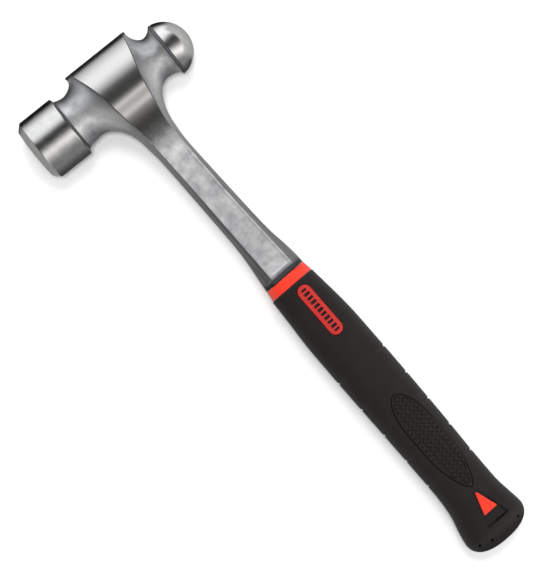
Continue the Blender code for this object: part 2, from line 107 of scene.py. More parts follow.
# Where the mesh rows down the cheek's edge lie: the share of the rows above each y.
CHEEK_ROWS = [(0, 22.5), (0.3, 8), (0.52, -10), (0.62, -19.8), (0.8, -24.8), (1, -36)]
# The panel's shallow recess.
RECESS_DEPTH = 0.5
RECESS_CORNER = 3.2
RECESS_START_Y = -42.0
RECESS_RUN_IN = 14.0
RECESS_SLOPE = 1.1
RAIL_WIDTH = 1.0
# The small step along the cheek and the panel, and its profile in shares of its run and its drop.
STEP_OUT = 0.55
STEP_DOWN = 1.0
STEP_RUN_IN = 3.0
STEP_PROFILE = [(0, 0), (0.45, 0.1), (0.75, 0.5), (0.85, 0.85), (1, 1)]
# The shank's wall from the step's foot to the parting line: shares of its way out and of its way down.
WALL_OUT = [(0, 0), (0.3, 0.3), (0.6, 0.66), (0.8, 0.88), (1, 1)]
WALL_DOWN = [(0, 0), (0.3, 0.16), (0.6, 0.42), (0.8, 0.66), (1, 1)]

# How far each part of a shoulder keeps its direction as it leaves the neck.
TOP_REACH = 3.6
CHEEK_REACH = 6.0
POLL_WALL_REACH = 10.5
BALL_WALL_REACH = 9.0
# The directions in which a shoulder arrives at the top's edge, the cheek, the cheek's foot and the wall.
TOP_ARRIVAL = (1.0, 13.0, 0.0)
CHEEK_ARRIVAL = (7.7, 0.0, 4.5)
EDGE_ARRIVAL = (8.0, -24.0, 9.0)
WALL_ARRIVAL = 38.0
FLARE_POWER = 1.5
TOP_ARRIVAL_POWER, EDGE_ARRIVAL_POWER = 4, 2.5
ARRIVAL_BLENDS = 30
EVENED_ROWS = 7
EVENED_POWER = 0.8

TANG_HALF = (8.0, 4.5)
TANG_END_Y = -312.0
TANG_OVERLAP = 2.0
SLOT_HALF = 2.8
SLOT_Y = -208.0
SLEEVE_HALF = (10.8, 7.6)
SLEEVE_END_Y = -317.0
# Collar: (y, left x, right x, half thickness) at its two ends.
COLLAR_ENDS = [(-138.5, -12.6, 13.4, 10.3), (-144.6, -13.45, 14.2, 10.9)]
COLLAR_BORE_HALF = (8.7, 5.2)
COLLAR_BORE_POWER = 0.3
# The rounding of the collar's rims, as a share of its wall.
COLLAR_ROUND = 0.09

# Grip: (y, left x, right x, half thickness) down its length.
GRIP_PROFILE = [(-144.7, -14.0, 14.4, 11.4), (-152, -14.3, 15.0, 11.8), (-164, -15.0, 16.1, 12.5),
                (-178, -15.8, 16.9, 13.1), (-205, -15.95, 17.0, 13.5), (-250, -15.7, 16.55, 13.3),
                (-282, -15.75, 15.7, 13.0), (-298, -16.9, 15.6, 13.4), (-309, -19.9, 16.9, 14.3),
                (-315.9, -21.1, 17.75, 14.9)]
OVAL_POWER = 2.35
DOME_POWER = 2.4
# Depths of the rows that round the grip's mouth, down to its radius.
MOUTH_ROWS = [0.0, 0.1, 0.25, 0.45, 0.7]
MOUTH_ROUND = MOUTH_ROWS[-1]
GROOVE_Y = [-202.6, -221.7, -240.4, -259.0, -277.2]
GROOVE_HALF = 0.95
GROOVE_DEPTH = 0.6
# Where a groove runs out round the grip, as a cosine, and the run that it takes.
GROOVE_END, GROOVE_RUN_OUT = 0.55, 0.35

# Inlays. A rim's numbers are its depth in the grip's surface, its rise and the run of the rise.
INLAY_END = 0.001
PAD_Y = (-226.2, -292.2)
PAD_X = 2.7
PAD_HALF_WIDTH = 8.5
PAD_FLOOR = 10.6
PAD_RIM = (0.8, 0.75, 0.55)
PAD_BORDER, PAD_BORDER_SLOPE = 1.1, 0.4
# The pad's widest place, as a share of its length, and its outline's powers above and below it.
LENS_WIDEST = 0.55
LENS_ABOVE = (4, 0.59)
LENS_BELOW = (2, 0.68)
STUD_PITCH = (3.1, 3.05)
STUD_HALF, STUD_SLOPE, STUD_DEPTH = 0.42, 0.14, 0.8
STUD_CROWN, STUD_CROWN_EDGE = 0.5, 0.1
BADGE_Y = (-147.8, -181.6)
BADGE_X = 3.2
BADGE_HALF_WIDTH = 4.1
BADGE_FLOOR = 9.9
BADGE_RIM = (0.3, 0.4, 0.35)
BADGE_BORDER, BADGE_BORDER_SLOPE = 2.3, 0.25
BADGE_SUNK = 0.45
RIB_PITCH = (BADGE_Y[0] - BADGE_Y[1]) / 12
RIB_EDGE, RIB_SLOPE = 0.7, 0.15
MARKER_Y = (-295.9, -308.6)
MARKER_X = 1.9
MARKER_HALF_WIDTH = 4.6
MARKER_FLOOR = 10.9
MARKER_RIM = (0.3, 0.35, 0.5)
# The marker's blunt tip, and the shares of its length that round its tip and its lower corners.
MARKER_TIP = 0.1
MARKER_TIP_RUN, MARKER_FOOT_RUN = 0.07, 0.06
MARKER_FOOT_ROUND = 0.14
# The recess that holds the marker and the channel along its far walls: x from the marker's middle, y.
HOLLOW_TOP_Y, HOLLOW_BOTTOM_Y = MARKER_Y[0] + 1.2, MARKER_Y[1] - 6.7
HOLLOW_OUTLINE = [(-1.6, HOLLOW_TOP_Y), (1.9, HOLLOW_TOP_Y), (7.3, HOLLOW_BOTTOM_Y), (-7.3, HOLLOW_BOTTOM_Y)]
HOLLOW_FLOOR = 12.5
CHANNEL_TOP_Y, CHANNEL_FOOT_Y, CHANNEL_BOTTOM_Y = MARKER_Y[0] - 5.8, MARKER_Y[1] - 5.7, MARKER_Y[1] - 6.6
CHANNEL_OUTLINE = [(6.0, CHANNEL_FOOT_Y), (2.8, CHANNEL_TOP_Y), (3.7, CHANNEL_TOP_Y),
                   (7.15, CHANNEL_BOTTOM_Y), (-1.5, CHANNEL_BOTTOM_Y), (-1.2, CHANNEL_FOOT_Y)]
CHANNEL_FLOOR = 10.6
GAP = 0.3
# Places of the pin marks left by the mould near the butt, and how high their floors lie.
PIN_MARKS = [(11.0, -321.0, 9.0), (-8.2, -321.6, 9.0), (-15.4, -319.6, 6.0)]
PIN_RADIUS = 0.85
CUTTER_TOP = 25.0
CUTTER_OVERSHOOT = 4.0

# Steps of the meshes.
NECK_SEGMENTS = 120
NECK_ARC_POINTS = 10
CROWN_POINTS = 14
BALL_POINTS = 40
TOP_EDGE_SEGMENTS = 12
WALL_SEGMENTS = 16
SHOULDER_COLUMNS = 40
PANEL_COLUMNS = 44
PANEL_POINTS = 120
RAMP_ROWS = 8
FLANGE_ROWS = 3
ARC_STEPS = 24
OVAL_SEGMENTS = 240
GRIP_POINTS = 210
GROOVE_POINTS = 17
DOME_POINTS = 26
SLEEVE_SEGMENTS = 96
COLLAR_SEGMENTS = 192
OUTLINE_POINTS = 60

# Merge distances in metres: along patches, at the middle plane, and of faces with no size.
PATCH_MERGE, MIRROR_MERGE, SLIVER = 2e-6, 1e-6, 1e-7
# An edge that turns by more degrees than this is shaded sharp.
FORGING_SHARP, GRIP_SHARP, INLAY_SHARP, COLLAR_SHARP = 14, 28, 45, 35

# The forging's finishes, in the order of its materials.
FORGED, GROUND, POLISHED, SCALE_AND_SHADE = 0, 1, 2, 3


def origin():
    """Where the head's axis crosses the handle, in the CAD frame."""
    forging_low, forging_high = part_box("forging")
    grip_low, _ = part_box("grip")
    tip = drooped(np.array([BALL_X, 0.0, 0.0]))[0] + BALL_RADIUS
    middle_z = (forging_low.z + forging_high.z) / 2
    return Vector((forging_high.x - tip * MM, grip_low.y - BUTT_Y * MM, middle_z))


def ease(share):
    """A smooth step from 0 to 1 as share goes from 0 to 1."""
    share = np.clip(share, 0.0, 1.0)
    return share * share * (3 - 2 * share)


def monotone(keys, y):
    """Values at y on a smooth curve through the (y, value) keys, with no overshoot."""
    ys, values = np.array(sorted(keys), float).T
    widths, steps = np.diff(ys), np.diff(values) / np.diff(ys)
    product = steps[:-1] * steps[1:]
    total = np.where(product > 0, steps[:-1] + steps[1:], 1.0)
    slopes = np.concatenate([steps[:1], np.where(product > 0, 2 * product / total, 0.0), steps[-1:]])
    i = np.clip(np.searchsorted(ys, y) - 1, 0, len(steps) - 1)
    t = np.clip((y - ys[i]) / widths[i], 0.0, 1.0)
    return ((2 * t**3 - 3 * t**2 + 1) * values[i] + (t**3 - 2 * t**2 + t) * widths[i] * slopes[i]
            + (3 * t**2 - 2 * t**3) * values[i + 1] + (t**3 - t**2) * widths[i] * slopes[i + 1])


def bell(spread, step=1.0):
    """Weights of a bell curve that reaches three spreads to each side, in steps."""
    reach = int(3 * spread / step)
    weights = np.exp(-0.5 * (np.arange(-reach, reach + 1) * step / spread) ** 2)
    return weights / weights.sum()


def eased(keys, blur, step=0.05):
    """The same curve with its curvature evened out, so that reflections run smoothly along it."""
    ys = np.array(sorted(keys), float)[:, 0]
    grid = np.arange(ys[0], ys[-1] + step, step)
    weights = bell(blur, step)
    table = np.pad(monotone(keys, grid), len(weights) // 2, mode="reflect", reflect_type="odd")
    table = np.convolve(table, weights, mode="valid")
    return lambda y: np.interp(y, grid, table)


def slope_height(keys, top, blur=0.06, step=0.02):
    """Height as a function of y from the surface's lean in degrees, with its highest point at top."""
    ys = np.arange(min(keys)[0], max(keys)[0] + step, step)
    lean = eased(keys, blur, step)(ys)
    height = np.concatenate([[0.0], np.cumsum(-np.tan(np.radians((lean[1:] + lean[:-1]) / 2)) * step)])
    height += top - height.max()
    return lambda y: np.interp(y, ys, height)


half_thickness = slope_height(CHEEK_LEAN, CHEEK_HALF_THICKNESS)
left_arris, right_arris = eased(LEFT_ARRIS, 2.5), eased(RIGHT_ARRIS, 2.5)
left_edge, right_edge = eased(LEFT_EDGE, 2.0), eased(RIGHT_EDGE, 2.0)


def drooped(points, share=1.0):
    """Points of the head, given along the head's axis, in the handle's frame."""
    angle = -radians(HEAD_DROOP) * np.asarray(share)
    x, y, z = points[..., 0], points[..., 1], points[..., 2]
    lifted = y * np.cos(angle) + x * np.sin(angle) + HEAD_RISE * np.asarray(share)
    return np.stack([x * np.cos(angle) - y * np.sin(angle), lifted, z], -1)


def flange_share(y):
    """0 on the head and shank, 1 on the thicker flange at the shank's lower end."""
    return ease((PANEL_END_Y - y) / FLANGE_RAMP)


def arris_points(arris, y):
    """The cheek's or panel's left or right edge at y. The droop fades out below the head."""
    y = np.asarray(y, float)
    points = drooped(np.stack([arris(y), y, half_thickness(y)], -1), np.clip((y - JOIN_Y) / -JOIN_Y, 0, 1))
    flange = flange_share(y)
    points[..., 0] += np.sign(points[..., 0]) * FLANGE_SPREAD * flange
    points[..., 2] += (FLANGE_HALF_THICKNESS - points[..., 2]) * flange
    return points


def foot_points(arris, y):
    """The foot of the small step that falls from that edge. It dies out at the top and at the flange."""
    foot = arris_points(arris, y)
    size = ease((TOP_Y - y) / STEP_RUN_IN) * (1 - flange_share(y))
    foot[..., 0] += np.sign(foot[..., 0]) * STEP_OUT * size
    foot[..., 2] -= STEP_DOWN * size
    return foot


def step_rows(arris, ys):
    """Rows of points across the step, rounded over at its rim and out at its foot."""
    start, end = arris_points(arris, ys)[:, None], foot_points(arris, ys)[:, None]
    out, down = np.array(STEP_PROFILE).T
    share = np.stack([out, out, down], -1)[None]
    return start * (1 - share) + end * share


def wall_rows(arris, edge, ys):
    """Rows of points down the shank's side wall, from the step's foot to the parting line."""
    start = foot_points(arris, ys)[:, None]
    end = np.stack([edge(ys), ys, np.zeros_like(ys)], -1)[:, None]
    along = np.linspace(0, 1, WALL_SEGMENTS + 1)
    share = np.stack([monotone(WALL_OUT, along), along, monotone(WALL_DOWN, along)], -1)[None]
    return start * (1 - share) + end * share


class Patchwork:
    """Grids and flat faces that become one closed mesh, where asked with the half's mirror image."""

    def __init__(self):
        self.points, self.faces, self.finishes, self.count = [], [], [], 0

    def grid(self, rows, finish=0):
        rows = np.asarray(rows, float)
        height, width = rows.shape[:2]
        index = np.arange(height * width).reshape(height, width) + self.count
        corners = [index[:-1, :-1], index[:-1, 1:], index[1:, 1:], index[1:, :-1]]
        quads = np.stack(corners, -1).reshape(-1, 4)
        self.faces += quads.tolist()
        self.finishes += finish if isinstance(finish, list) else [finish] * len(quads)
        self.points.append(rows.reshape(-1, 3))
        self.count += height * width

    def rings(self, rings):
        """Rings whose last point is their first one."""
        rings[:, -1] = rings[:, 0]
        self.grid(rings)

    def face(self, points, finish=0):
        self.faces.append(list(range(self.count, self.count + len(points))))
        self.finishes.append(finish)
        self.points.append(np.asarray(points, float).reshape(-1, 3))
        self.count += len(points)

    def mesh(self, name, mirror_z=False):
        mesh = bpy.data.meshes.new(name)
        mesh.from_pydata((np.concatenate(self.points) * MM).tolist(), [], self.faces)
        mesh.polygons.foreach_set("material_index", self.finishes)
        work = bmesh.new()
        work.from_mesh(mesh)
        bmesh.ops.remove_doubles(work, verts=work.verts, dist=PATCH_MERGE)
        if mirror_z:
            everything = work.verts[:] + work.edges[:] + work.faces[:]
            bmesh.ops.mirror(work, geom=everything, matrix=Matrix(), merge_dist=MIRROR_MERGE, axis="Z")
        bmesh.ops.dissolve_degenerate(work, edges=work.edges, dist=SLIVER)
        bmesh.ops.recalc_face_normals(work, faces=work.faces)
        work.to_mesh(mesh)
        work.free()
        return mesh


def half_turn(profile):
    """Rows round the head's axis, from its top over the front to its bottom, of (radius, x) points."""
    profile = np.asarray(profile, float)
    angle = np.linspace(pi / 2, -pi / 2, NECK_SEGMENTS + 1)[:, None]
    radius, x = profile[None, :, 0], profile[None, :, 1]
    points = np.stack([x + 0 * angle, radius * np.sin(angle), radius * np.cos(angle)], -1)
    points[[0, -1], :, 2] = 0.0
    return drooped(points)


def neck_arc(neck_x, neck_radius, end_x, end_radius, steps):
    """A hollow arc from a neck's narrowest ring out to end_radius at end_x."""
    run, rise = abs(end_x - neck_x), end_radius - neck_radius
    radius = (run * run + rise * rise) / (2 * rise)
    x = np.linspace(neck_x, end_x, steps)
    return [(neck_radius + radius - sqrt(radius**2 - (at - neck_x) ** 2), at) for at in x.tolist()]


def rounded(corners, cut_length, steps=5):
    """A polyline with each inner corner rounded off. A cut takes under half of each side."""
    corners = [np.array(corner, float) for corner in corners]
    line = [corners[0]]
    for before, corner, after in zip(corners, corners[1:], corners[2:]):
        back, on = before - corner, after - corner
        back_length, on_length = np.linalg.norm(back), np.linalg.norm(on)
        cut = min(cut_length, 0.45 * back_length, 0.45 * on_length)
        start, end = corner + back / back_length * cut, corner + on / on_length * cut
        for t in np.linspace(0, 1, steps + 1):
            line.append(start * (1 - t) ** 2 + corner * 2 * t * (1 - t) + end * t**2)
    return line + [corners[-1]]


def poll_profile():
    """The neck, the dark groove behind the poll, then the poll to the middle of its crowned face."""
    radii = np.linspace(FACE_RADIUS, 0, CROWN_POINTS).tolist()
    crown = [(radius, FACE_X + radius * radius / (2 * FACE_CROWN)) for radius in radii]
    groove_x = POLL_BACK_X + POLL_GROOVE_WIDTH
    neck = neck_arc(POLL_NECK_X, POLL_NECK_RADIUS, groove_x, POLL_GROOVE_RADIUS, NECK_ARC_POINTS)
    groove = [neck[-1]] + [(POLL_GROOVE_RADIUS + out, groove_x + on) for out, on in POLL_GROOVE_STEPS]
    inset, reach = POLL_BACK_EDGE
    groove.append((POLL_RADIUS - inset, POLL_BACK_X + reach))
    xs = (POLL_BACK_X - reach, POLL_BACK_X - POLL_BACK_BAND, FACE_X + POLL_CHAMFER)
    body = rounded([groove[-1]] + [(POLL_RADIUS, x) for x in xs] + crown[:2], POLL_EDGE_ROUND)
    return neck, groove, body[:-1] + crown[1:]


def ball_profile():
    """The neck, the dark band round the ball's rim, then the ball to its tip."""
    rim_angle, start_angle = (np.arccos((x - BALL_X) / BALL_RADIUS)
                              for x in (BALL_RIM_X, BALL_RIM_X + BALL_BAND_WIDTH))
    angles = np.linspace(start_angle, 0, BALL_POINTS).tolist()
    ball = [(BALL_RADIUS * sin(angle), BALL_X + BALL_RADIUS * cos(angle)) for angle in angles]
    ball[-1] = (0.0, BALL_X + BALL_RADIUS)
    rim = BALL_RADIUS * sin(rim_angle)
    corners = [(rim + out, BALL_RIM_X + on) for out, on in BALL_BAND_CORNERS]
    neck = neck_arc(BALL_NECK_X, BALL_NECK_RADIUS, corners[0][1], corners[0][0], NECK_ARC_POINTS)
    band = [neck[-1]] + rounded([neck[-1]] + corners[1:] + [ball[0]], BALL_BAND_ROUND, 3)[1:]
    return neck, band, ball


def cheek_ys():
    """Heights down the cheek's edge, close together where its slope turns into the shank."""
    share = np.linspace(0, 1, NECK_SEGMENTS - TOP_EDGE_SEGMENTS - WALL_SEGMENTS + 1)
    return monotone(CHEEK_ROWS, share)


def end_boundary(top_x, arris, edge):
    """Where a shoulder ends: the top's edge, the step's foot, then across the start of the shank wall."""
    top_corner = arris_points(arris, TOP_Y)
    start = drooped(np.array([top_x, TOP_Y, 0.0]))
    share = np.linspace(0, 1, TOP_EDGE_SEGMENTS + 1)[:-1, None]
    top = start * (1 - share) + top_corner * share
    wall = wall_rows(arris, edge, np.array([JOIN_Y]))[0]
    return np.concatenate([top, foot_points(arris, cheek_ys()[:-1]), wall])


def evened(rows):
    """The shoulder's rows with ridges between neighbours evened out, except at both ends."""
    weights = bell(EVENED_ROWS)
    reach = len(weights) // 2
    mirrored = rows * (1, 1, -1)
    padded = np.concatenate([mirrored[reach:0:-1], rows, mirrored[-2:-reach - 2:-1]])
    smooth = sum(weight * padded[k:k + len(rows)] for k, weight in enumerate(weights))
    t = np.linspace(0, 1, rows.shape[1])[None, :, None]
    return rows + (smooth - rows) * np.sin(pi * t) ** EVENED_POWER


def arrivals(side, arris, edge, ends):
    """The directions in which a shoulder's rows arrive at their ends, blended from row to row."""
    first_wall = NECK_SEGMENTS - WALL_SEGMENTS
    below_top = np.arange(NECK_SEGMENTS + 1) - TOP_EDGE_SEGMENTS
    fall = np.clip(below_top / (first_wall - TOP_EDGE_SEGMENTS), 0, 1)[:, None]
    up, down = (1 - fall) ** TOP_ARRIVAL_POWER, fall ** EDGE_ARRIVAL_POWER
    outward = np.array([side, 1.0, 1.0])
    downward = np.repeat((outward * EDGE_ARRIVAL)[None], NECK_SEGMENTS + 1, axis=0)
    along = wall_rows(arris, edge, np.array([JOIN_Y - 1.0]))[0] - ends[first_wall:]
    downward[first_wall:] = along / np.linalg.norm(along, axis=1, keepdims=True) * WALL_ARRIVAL
    arrive = outward * TOP_ARRIVAL * up + outward * CHEEK_ARRIVAL * (1 - up - down) + downward * down
    for _ in range(ARRIVAL_BLENDS):
        arrive[1:-1] = (arrive[:-2] + 2 * arrive[1:-1] + arrive[2:]) / 4
    return arrive


def shoulder(side, neck_x, neck_radius, top_x, arris, edge, wall_reach):
    """Rows that flare from the neck's half circle, top to bottom, to the end boundary."""
    ends = end_boundary(top_x, arris, edge)
    angle = np.linspace(pi / 2, -pi / 2, NECK_SEGMENTS + 1)
    starts = drooped(np.stack([np.full_like(angle, neck_x), neck_radius * np.sin(angle),
                               neck_radius * np.cos(angle)], -1))
    down = np.clip(-np.sin(angle), 0, 1)[:, None] ** FLARE_POWER
    up = np.clip(np.sin(angle), 0, 1)[:, None] ** FLARE_POWER
    reaches = TOP_REACH * up + CHEEK_REACH * (1 - up - down) + wall_reach * down
    leave = drooped(np.array([side, 0.0, 0.0])) * 3 * reaches
    arrive = arrivals(side, arris, edge, ends)
    t = np.linspace(0, 1, SHOULDER_COLUMNS + 1)[None, :, None]
    starts, ends, leave, arrive = (part[:, None] for part in (starts, ends, leave, arrive))
    rows = (starts * (2 * t**3 - 3 * t**2 + 1) + leave * (t**3 - 2 * t**2 + t)
            + ends * (3 * t**2 - 2 * t**3) + arrive * (t**3 - t**2))
    rows = evened(rows)
    rows[[0, -1], :, 2] = 0.0
    return rows


def panel_rows(left, right):
    """Straight rulings from the left edge to the right, with a shallow recess inside a narrow rail."""
    share = np.linspace(0, 1, PANEL_COLUMNS + 1)[None, :, None]
    rows = left[:, None] * (1 - share) + right[:, None] * share
    side = np.minimum(rows[..., 0] - left[:, :1], right[:, :1] - rows[..., 0])
    end = rows[..., 1] - PANEL_END_Y
    near = RECESS_CORNER - np.hypot(np.maximum(RECESS_CORNER - side, 0), np.maximum(RECESS_CORNER - end, 0))
    inside = np.where((side < RECESS_CORNER) & (end < RECESS_CORNER), near, np.minimum(side, end))
    fade = ease((RECESS_START_Y - rows[..., 1]) / RECESS_RUN_IN)
    rows[..., 2] -= RECESS_DEPTH * fade * ease((inside - RAIL_WIDTH) / RECESS_SLOPE)
    return rows


def shank_ys():
    """Heights down the shank, from the shoulders to the flange's end."""
    panel = np.linspace(JOIN_Y, PANEL_END_Y, PANEL_POINTS)
    ramp = PANEL_END_Y - np.linspace(0, FLANGE_RAMP, RAMP_ROWS + 1)[1:]
    return np.concatenate([panel, ramp, np.linspace(ramp[-1], FLANGE_Y, FLANGE_ROWS + 1)[1:]])


def forging_mesh():
    """The head, the cheeks and the shank down to the flange, as one closed mesh."""
    work = Patchwork()
    poll = (1, POLL_NECK_X, POLL_NECK_RADIUS, TOP_LEFT_X, left_arris, left_edge, POLL_WALL_REACH)
    ball = (-1, BALL_NECK_X, BALL_NECK_RADIUS, TOP_RIGHT_X, right_arris, right_edge, BALL_WALL_REACH)
    top, bottom = [], []
    for flare, turned in ((poll, poll_profile()), (ball, ball_profile())):
        rows = shoulder(*flare)
        *_, arris, edge, _ = flare
        walls = wall_rows(arris, edge, shank_ys())
        work.grid(rows, FORGED)
        # The groove behind the poll and the band round the ball take the finish of dark scale with painted
        # shade.
        for profile, finish in zip(turned, (FORGED, SCALE_AND_SHADE, POLISHED)):
            work.grid(half_turn(profile), finish)
        # The step along the cheek is darkened as painted shade.
        work.grid(step_rows(arris, cheek_ys()), SCALE_AND_SHADE)
        work.grid(step_rows(arris, shank_ys()), FORGED)
        work.grid(walls, FORGED)
        top.append(rows[:TOP_EDGE_SEGMENTS, -1])
        bottom.append(walls[-1])
    for ys in (cheek_ys(), shank_ys()):
        panel = panel_rows(arris_points(left_arris, ys), arris_points(right_arris, ys))
        work.grid(panel, GROUND)
        if ys[0] == TOP_Y:
            work.face(np.concatenate([top[0], panel[0], top[1][::-1]]), FORGED)
    work.face(np.concatenate([bottom[0][::-1], panel[-1][1:-1], bottom[1]]), FORGED)
    return work.mesh("forging_fine", mirror_z=True)


def arc_points(x, y, radius, start, end, steps):
    angles = np.radians(np.linspace(start, end, steps + 1))
    return np.stack([x + radius * np.cos(angles), y + radius * np.sin(angles)], -1).tolist()


def prism(outlines, name):
    """Closed bodies from (outline, low, high): flat XY outlines, extruded along Z."""
    work = bmesh.new()
    for outline, low, high in outlines:
        rim = [[work.verts.new(Vector((x, y, z)) * MM) for x, y in outline] for z in (low, high)]
        for i in range(len(outline)):
            j = (i + 1) % len(outline)
            work.faces.new([rim[0][i], rim[0][j], rim[1][j], rim[1][i]])
        work.faces.new(rim[0])
        work.faces.new(rim[1])
    bmesh.ops.recalc_face_normals(work, faces=work.faces)
    mesh = bpy.data.meshes.new(name)
    work.to_mesh(mesh)
    work.free()
    return mesh


def fork_outline():
    """The tang, split below its slot's top into two tines with round ends."""
    tine = (TANG_HALF[0] - SLOT_HALF) / 2
    middle, end = SLOT_HALF + tine, TANG_END_Y + tine
    top = FLANGE_Y + TANG_OVERLAP
    return ([(TANG_HALF[0], top), (-TANG_HALF[0], top)] + arc_points(-middle, end, tine, 180, 360, ARC_STEPS)
            + arc_points(0, SLOT_Y - SLOT_HALF, SLOT_HALF, 180, 0, ARC_STEPS)
            + arc_points(middle, end, tine, 180, 360, ARC_STEPS))


def add_object(name, mesh, *materials):
    for material in materials:
        mesh.materials.append(material)
    item = bpy.data.objects.new(name, mesh)
    bpy.context.scene.collection.objects.link(item)
    item.location = ORIGIN
    return item


def apply_boolean(item, operation, tool_mesh):
    """Cuts the tool from the item, or joins it to it, and keeps the result."""
    tool = add_object("tool", tool_mesh)
    cut = item.modifiers.new("cut", "BOOLEAN")
    cut.operation = operation
    cut.object = tool
    graph = bpy.context.evaluated_depsgraph_get()
    result = bpy.data.meshes.new_from_object(item.evaluated_get(graph))
    item.modifiers.remove(cut)
    item.data = result
    bpy.data.objects.remove(tool, do_unlink=True)


def settle(item, node, angle):
    """Finishes a piece: its shading, its body and the CAD node it stands for."""
    item.data.shade_smooth()
    item.data.set_sharp_from_angle(angle=radians(angle))
    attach(item, "root")
    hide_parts(node)


def oval_point(left, right, thickness, angle):
    """(x, z) on a superellipse with those sides."""
    across, along = np.cos(angle), np.sin(angle)
    x = (left + right) / 2 + (right - left) / 2 * np.sign(across) * np.abs(across) ** (2 / OVAL_POWER)
    return x, thickness * np.sign(along) * np.abs(along) ** (2 / OVAL_POWER)


grip_left, grip_right, grip_thickness = (
    eased([(key[0], key[column]) for key in GRIP_PROFILE], 3.0) for column in (1, 2, 3))


def grip_surface_z(x, y):
    """Height of the grip's front above its middle plane."""
    y = np.maximum(y, DOME_Y)
    left, right = grip_left(y), grip_right(y)
    across = np.clip(np.abs(x - (left + right) / 2) / ((right - left) / 2), 0, 1)
    return grip_thickness(y) * (1 - across**OVAL_POWER) ** (1 / OVAL_POWER)


def side_grooves(y, angle):
    """Depth of the cross grooves, which cut the grip's sides and run out towards its front and back."""
    sides = ease((np.abs(np.cos(angle)) - GROOVE_END) / GROOVE_RUN_OUT)
    depth = np.zeros_like(y + angle)
    for groove in GROOVE_Y:
        depth = np.maximum(depth, GROOVE_DEPTH * np.clip(1 - ((y - groove) / GROOVE_HALF) ** 2, 0, 1))
    return depth * sides


def grip_ys():
    """Heights down the grip, close together at its mouth and in its grooves."""
    fine = [groove + np.linspace(-1, 1, GROOVE_POINTS) * 1.1 * GROOVE_HALF for groove in GROOVE_Y]
    body = np.linspace(GRIP_Y - MOUTH_ROUND - 0.5, DOME_Y, GRIP_POINTS)
    return np.unique(np.concatenate([GRIP_Y - np.array(MOUTH_ROWS), body, *fine]).round(4))[::-1]


def grip_mesh():
    """The grip's outer skin: its oval body with a rounded mouth and side grooves, and its domed butt."""
    angle = np.linspace(0, 2 * pi, OVAL_SEGMENTS + 1)[None, :]
    y = grip_ys()[:, None]
    inward = np.clip(MOUTH_ROUND - (GRIP_Y - y), 0, MOUTH_ROUND)
    inset = side_grooves(y, angle) + MOUTH_ROUND - np.sqrt(MOUTH_ROUND**2 - inward**2)
    x, z = oval_point(grip_left(y) + inset, grip_right(y) - inset, grip_thickness(y) - inset, angle)
    body = np.stack([x, y + 0 * x, z], -1)
    turn = np.linspace(0, pi / 2, DOME_POINTS)[1:-1, None]
    shrink = np.cos(turn) ** (2 / DOME_POWER)
    drop = (DOME_Y - BUTT_Y) * np.sin(turn) ** (2 / DOME_POWER)
    left, right, thickness = grip_left(DOME_Y), grip_right(DOME_Y), grip_thickness(DOME_Y)
    middle, half = (left + right) / 2, (right - left) / 2
    x, z = oval_point(middle - half * shrink, middle + half * shrink, thickness * shrink, angle)
    dome = np.stack([x, DOME_Y - drop + 0 * x, z], -1)
    work = Patchwork()
    rings = np.concatenate([body, dome])
    work.rings(rings)
    work.face(rings[0][:-1])
    tip = np.array([middle, BUTT_Y, 0.0])
    work.grid(np.stack([rings[-1], np.repeat(tip[None], OVAL_SEGMENTS + 1, axis=0)]))
    return work.mesh("grip_fine")


def lens_half_width(share):
    """Half width down the palm pad, as a share of its largest: blunt at the top, pointed below."""
    above = np.clip(1 - share / LENS_WIDEST, 0, 1)
    below = np.clip((share - LENS_WIDEST) / (1 - LENS_WIDEST), 0, 1)
    return (1 - above ** LENS_ABOVE[0]) ** LENS_ABOVE[1] * (1 - below ** LENS_BELOW[0]) ** LENS_BELOW[1]


def bar_half_width(share):
    """Half width down the badge, as a share of its largest: a bar with round ends."""
    distance = np.minimum(share, 1 - share) * (BADGE_Y[0] - BADGE_Y[1])
    inside = np.clip(BADGE_HALF_WIDTH - distance, 0, BADGE_HALF_WIDTH)
    return np.sqrt(BADGE_HALF_WIDTH**2 - inside**2) / BADGE_HALF_WIDTH


def quarter_round(share):
    """A quarter circle that rises from 0 to 1 as share goes from 0 to 1."""
    return np.sqrt(1 - (1 - np.clip(share, 0, 1)) ** 2)


def triangle_half_width(share):
    """Half width down the marker: a triangle pointing at the head, with rounded corners."""
    straight = np.clip(MARKER_TIP + share * (1 - MARKER_TIP), 0, 1)
    tip, foot = quarter_round(share / MARKER_TIP_RUN), quarter_round((1 - share) / MARKER_FOOT_RUN)
    return straight * tip * (1 - MARKER_FOOT_ROUND + MARKER_FOOT_ROUND * foot)


def outline_of(inlay, grow):
    """The closed outline of an inlay, grown by grow on every side."""
    start, end = inlay.ys
    share = (1 - np.cos(np.linspace(0, pi, OUTLINE_POINTS))) / 2
    y = start + grow + (end - start - 2 * grow) * share
    half = inlay.width(share) * inlay.half_width + grow * np.sqrt(np.clip(np.sin(pi * share), 0, 1))
    right = np.stack([inlay.x + half, y], -1)[1:-1]
    left = np.stack([inlay.x - half, y], -1)[1:-1][::-1]
    return [(inlay.x, float(y[0]))] + right.tolist() + [(inlay.x, float(y[-1]))] + left.tolist()


